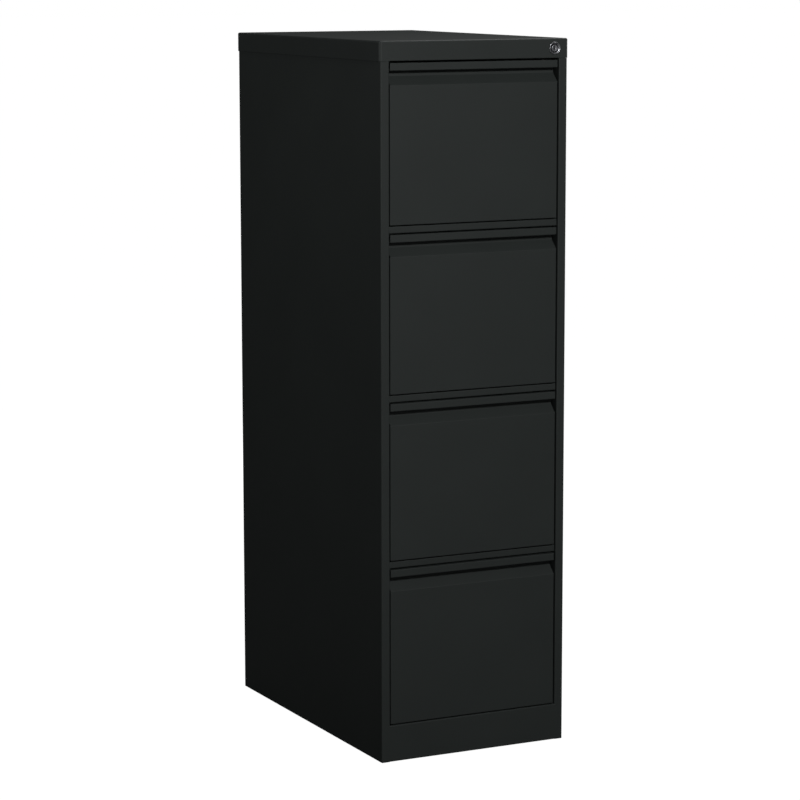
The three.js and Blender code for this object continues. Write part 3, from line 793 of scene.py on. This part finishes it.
def crank():
    """Disc on the plug's inner end, its pin and a screw head."""
    low, high = box_mm("lock_crank")
    front, rear = low.y, high.y
    mesh = lathed([(0, front), (11.6, front), (12, front + 0.4), (12, front + 1.8), (11.6, front + 2.2),
                   (0, front + 2.2)], (LOCK_X, 0, LOCK_Z), "y", 40)
    pin = [(0, front + 2), (2.4, front + 2), (2.4, rear - 0.4), (2.0, rear), (0, rear)]
    merge_in(mesh, lathed(pin, (LOCK_X + PIN_REACH, 0, LOCK_Z - PIN_REACH), "y", 24))
    screw = [(0, front + 2), (3.4, front + 2), (3.3, front + 3.2), (2.2, front + 3.9), (0, front + 4.0)]
    merge_in(mesh, lathed(screw, (LOCK_X, 0, LOCK_Z), "y", 24))
    return mesh


def gang_bar():
    """Flat lock bar: a slotted head at the top and a finger for each drawer."""
    low, high = box_mm("lock_bar")
    middle = (low.y + high.y) / 2
    inner = high.x - BAR_WIDTH
    tip = TRAY_HALF + FINGER_GAP
    outline = [(high.x, low.z), (high.x, high.z), (low.x, high.z), (low.x, high.z - BAR_HEAD),
               (inner, high.z - BAR_HEAD)]
    for number in DRAWERS:
        foot = FACES[number][0].z + FINGER_ABOVE
        outline += [(inner, foot + FINGER_HEIGHT), (tip, foot + FINGER_HEIGHT), (tip, foot), (inner, foot)]
    outline.append((inner, low.z))
    mesh = bmesh.new()
    mesh.faces.new([mesh.verts.new((x, middle, z)) for x, z in outline])
    bmesh.ops.bevel(mesh, geom=list(mesh.verts), offset=BAR_CORNER, offset_type="OFFSET", segments=3, profile=0.5,
                    affect="VERTICES", material=-1)
    return mesh


def bar_slot():
    """The slot in the bar's head that the crank's pin runs in."""
    low, high = box_mm("lock_bar")
    left, right = LOCK_X + PIN_REACH - PIN_ROOM, LOCK_X + CRANK_THROW + PIN_ROOM
    level = LOCK_Z - PIN_REACH
    return block((left, low.y - 2, level - PIN_ROOM), (right, high.y + 2, level + PIN_ROOM))


def bar_guide(node):
    """Bracket folded round the bar, with a long ear in front for its rivet and a short one behind."""
    low, high = box_mm(node)
    wall = high.x - GUIDE_STEEL / 2
    inner = low.x + GUIDE_STEEL / 2
    near, far = low.y + GUIDE_STEEL / 2, high.y - GUIDE_STEEL / 2
    return folded([(wall, near - 9), (wall, near), (inner, near), (inner, far), (wall, far), (wall, far + 3.5)],
                  "z", low.z, high.z, 1.0)


def guide_rivet(node):
    """The head that holds a guide's front ear."""
    low, high = box_mm(node)
    return rivet((high.x - GUIDE_STEEL - 0.05, low.y - 4.2, (low.z + high.z) / 2), "x", -1, 2.2, 0.8)


def slide_rivets(node):
    """Domed heads that hold the inner member to the tray."""
    low, high = box_mm(node)
    side = 1 if low.x > 0 else -1
    face = (low.x if side > 0 else high.x) + side * (SLIDE_STEEL + 0.02)
    mesh = bmesh.new()
    for share in (0.08, 0.36, 0.64, 0.92):
        rivet((face, low.y + share * (high.y - low.y), (low.z + high.z) / 2), "x", side, 3.4, 0.8, mesh)
    return mesh


def weld_marks():
    """Spot welds down both edges of the rear wall."""
    low, high = box_mm("back_panel")
    count, margin, inset = 12, 45, 9
    mesh = bmesh.new()
    for side in SIDES.values():
        for step in range(count):
            level = low.z + margin + step * (high.z - low.z - 2 * margin) / (count - 1)
            rivet((side * (CASE_HALF - inset), high.y + 0.02, level), "y", 1, 2.6, 0.18, mesh)
    return mesh


# ---- fitting the pieces ----
for name, side in SIDES.items():
    fit(f"{name}_wall", side_wall(side), "cabinet", "case_paint", [f"side_panel_{name}"], SHELL)
    for place in ("front", "rear"):
        node = f"{place}_upright_{name}"
        fit(f"{place}_column_{name}", column(node, side), "cabinet", "zinc_steel", [node], SLIDE_STEEL)

fit("rear_wall", rear_wall(), "cabinet", "case_paint", ["back_panel"], SHELL)
fit("lid", lid(), "cabinet", "case_paint", ["top_cap"], SHELL, -1, cuts=[barrel_room(4)])
fit("spot_welds", weld_marks(), "cabinet", "case_paint", edge=0)
fit("plinth", plinth(), "cabinet", "case_paint", ["kick_plate"], SHELL)
fit("base_floor", base_floor(), "cabinet", "case_paint", ["base_pan"], SHELL)
fit("glide_nuts", bosses(), "cabinet", "zinc_steel", edge=0)
for number in DRAWERS[:-1]:
    fit(f"rail_{number}", cross_rail(number), "cabinet", "case_paint", [f"cross_rail_{number}"], SHELL)
for name in GLIDES:
    fit(f"{name}_foot", foot(name), name, "black_nylon", [name], edge=0)

for number in DRAWERS:
    body = f"drawer_{number}"
    fit(f"front_{number}", drawer_front(number), body, "case_paint", [f"drawer_face_{number}"], SHELL)
    fit(f"tray_{number}", drawer_tray(number), body, "inner_paint", [f"drawer_tray_{number}"], TRAY_SHEET)
    fit(f"strike_{number}", tray_strike(number), body, "zinc_steel", sheet=SLIDE_STEEL)
    fit(f"track_{number}", follower_track(number), body, "zinc_steel", sheet=0.6)
    fit(f"follower_{number}_plate", follower_plate(number), f"follower_{number}", "inner_paint",
        [f"follower_block_{number}"], TRAY_SHEET)
    fit(f"follower_{number}_handle", follower_handle(number), f"follower_{number}", "zinc_steel", sheet=1.2)
    for name, side in SIDES.items():
        for member, rider, curl in (("outer", "cabinet", 3.6), ("middle", f"runners_{number}", 3.0),
                                    ("inner", body, 0)):
            node = f"slide_{member}_{name}_{number}"
            fit(f"{member}_rail_{name}_{number}", channel(node, curl), rider, "zinc_steel", [node], SLIDE_STEEL)
        rivets = slide_rivets(f"slide_inner_{name}_{number}")
        fit(f"slide_rivets_{name}_{number}", rivets, body, "zinc_steel", edge=0)
        fit(f"balls_{name}_{number}", ball_row(number, name), f"runners_{number}", "zinc_steel", edge=0)

fit("lock_rim", lock_rim(), "cabinet", "chrome", ["lock_housing"], edge=0)
fit("lock_ring_nut", hex_nut(), "cabinet", "zinc_steel", ["lock_nut"], edge=0.5, cuts=[barrel_room(9)])
fit("lock_core", lock_core(), "lock_plug", "chrome", ["lock_plug"], edge=0.12, cuts=[key_slot()])
fit("lock_crank_disc", crank(), "lock_plug", "zinc_steel", ["lock_crank"], edge=0)
fit("gang_bar", gang_bar(), "lock_bar", "inner_paint", ["lock_bar"], BAR_STEEL, cuts=[bar_slot()])
for place in ("upper", "lower"):
    node = f"lock_bar_guide_{place}"
    fit(f"bar_guide_{place}", bar_guide(node), "cabinet", "inner_paint", [node], GUIDE_STEEL)
    fit(f"bar_guide_rivet_{place}", guide_rivet(node), "cabinet", "zinc_steel", edge=0)


# ---- stage ----
FLOOR_TONE = 0.05
FLOOR_GLOW = 1.0
DAYLIGHT = 0.045


def make_stage():
    """A floor that looks white but throws little light up, under faint even daylight."""
    mesh = bmesh.new()
    bmesh.ops.create_grid(mesh, x_segments=1, y_segments=1, size=60.0)
    data = bpy.data.meshes.new("floor")
    mesh.to_mesh(data)
    mesh.free()
    floor = bpy.data.objects.new("floor", data)
    bpy.context.scene.collection.objects.link(floor)
    pale = Finish("studio_floor")
    pale.set(Base_Color=(FLOOR_TONE, FLOOR_TONE, FLOOR_TONE, 1), Roughness=0.9, Specular_IOR_Level=0.0)
    seen = pale.make("ShaderNodeLightPath", {})["Is Camera Ray"]
    glow = pale.mix(seen, (0, 0, 0, 1), (FLOOR_GLOW, FLOOR_GLOW, FLOOR_GLOW, 1))
    pale.set(Emission_Color=glow, Emission_Strength=1.0)
    data.materials.append(pale.material)
    world = bpy.data.worlds.new("studio")
    world.use_nodes = True
    tree = world.node_tree
    daylight = tree.nodes["Background"]
    path = tree.nodes.new("ShaderNodeLightPath")
    level = tree.nodes.new("ShaderNodeMapRange")
    level.inputs["To Min"].default_value = DAYLIGHT
    level.inputs["To Max"].default_value = 1.0
    tree.links.new(path.outputs["Is Camera Ray"], level.inputs["Value"])
    tree.links.new(level.outputs["Result"], daylight.inputs["Strength"])
    daylight.inputs["Color"].default_value = (1.0, 1.0, 1.0, 1)
    bpy.context.scene.world = world
    bpy.context.scene.view_settings.view_transform = "Standard"


def soft_box(name, place, target, size, watts):
    """A rectangular studio light turned towards a target."""
    data = bpy.data.lights.new(name, "AREA")
    data.shape = "RECTANGLE"
    data.size, data.size_y = size
    data.energy = watts
    light = bpy.data.objects.new(name, data)
    bpy.context.scene.collection.objects.link(light)
    light.location = place
    light.rotation_euler = (Vector(target) - Vector(place)).to_track_quat("-Z", "Y").to_euler()


make_stage()
soft_box("key", (-0.35, FRONT - 3.15, 2.4), (0, FRONT, 0.75), (0.4, 0.4), 65)
soft_box("fill", (0.2, FRONT - 2.6, 0.5), (0, FRONT, 0.6), (1.4, 0.7), 2.4)
soft_box("left", (-1.9, FRONT + 0.3, 1.65), (0, FRONT + 0.3, 0.9), (0.9, 0.9), 7.8)
soft_box("above", (0.9, FRONT + 0.5, 2.8), (0, FRONT + 0.3, 1.2), (0.8, 0.8), 16.3)
soft_box("right", (3.0, FRONT + 0.6, 0.9), (0, FRONT + 0.5, 0.7), (1.2, 0.6), 26)
soft_box("behind", (0.9, FRONT + 3.8, 0.8), (0, FRONT + 0.6, 0.7), (1.2, 0.6), 60)
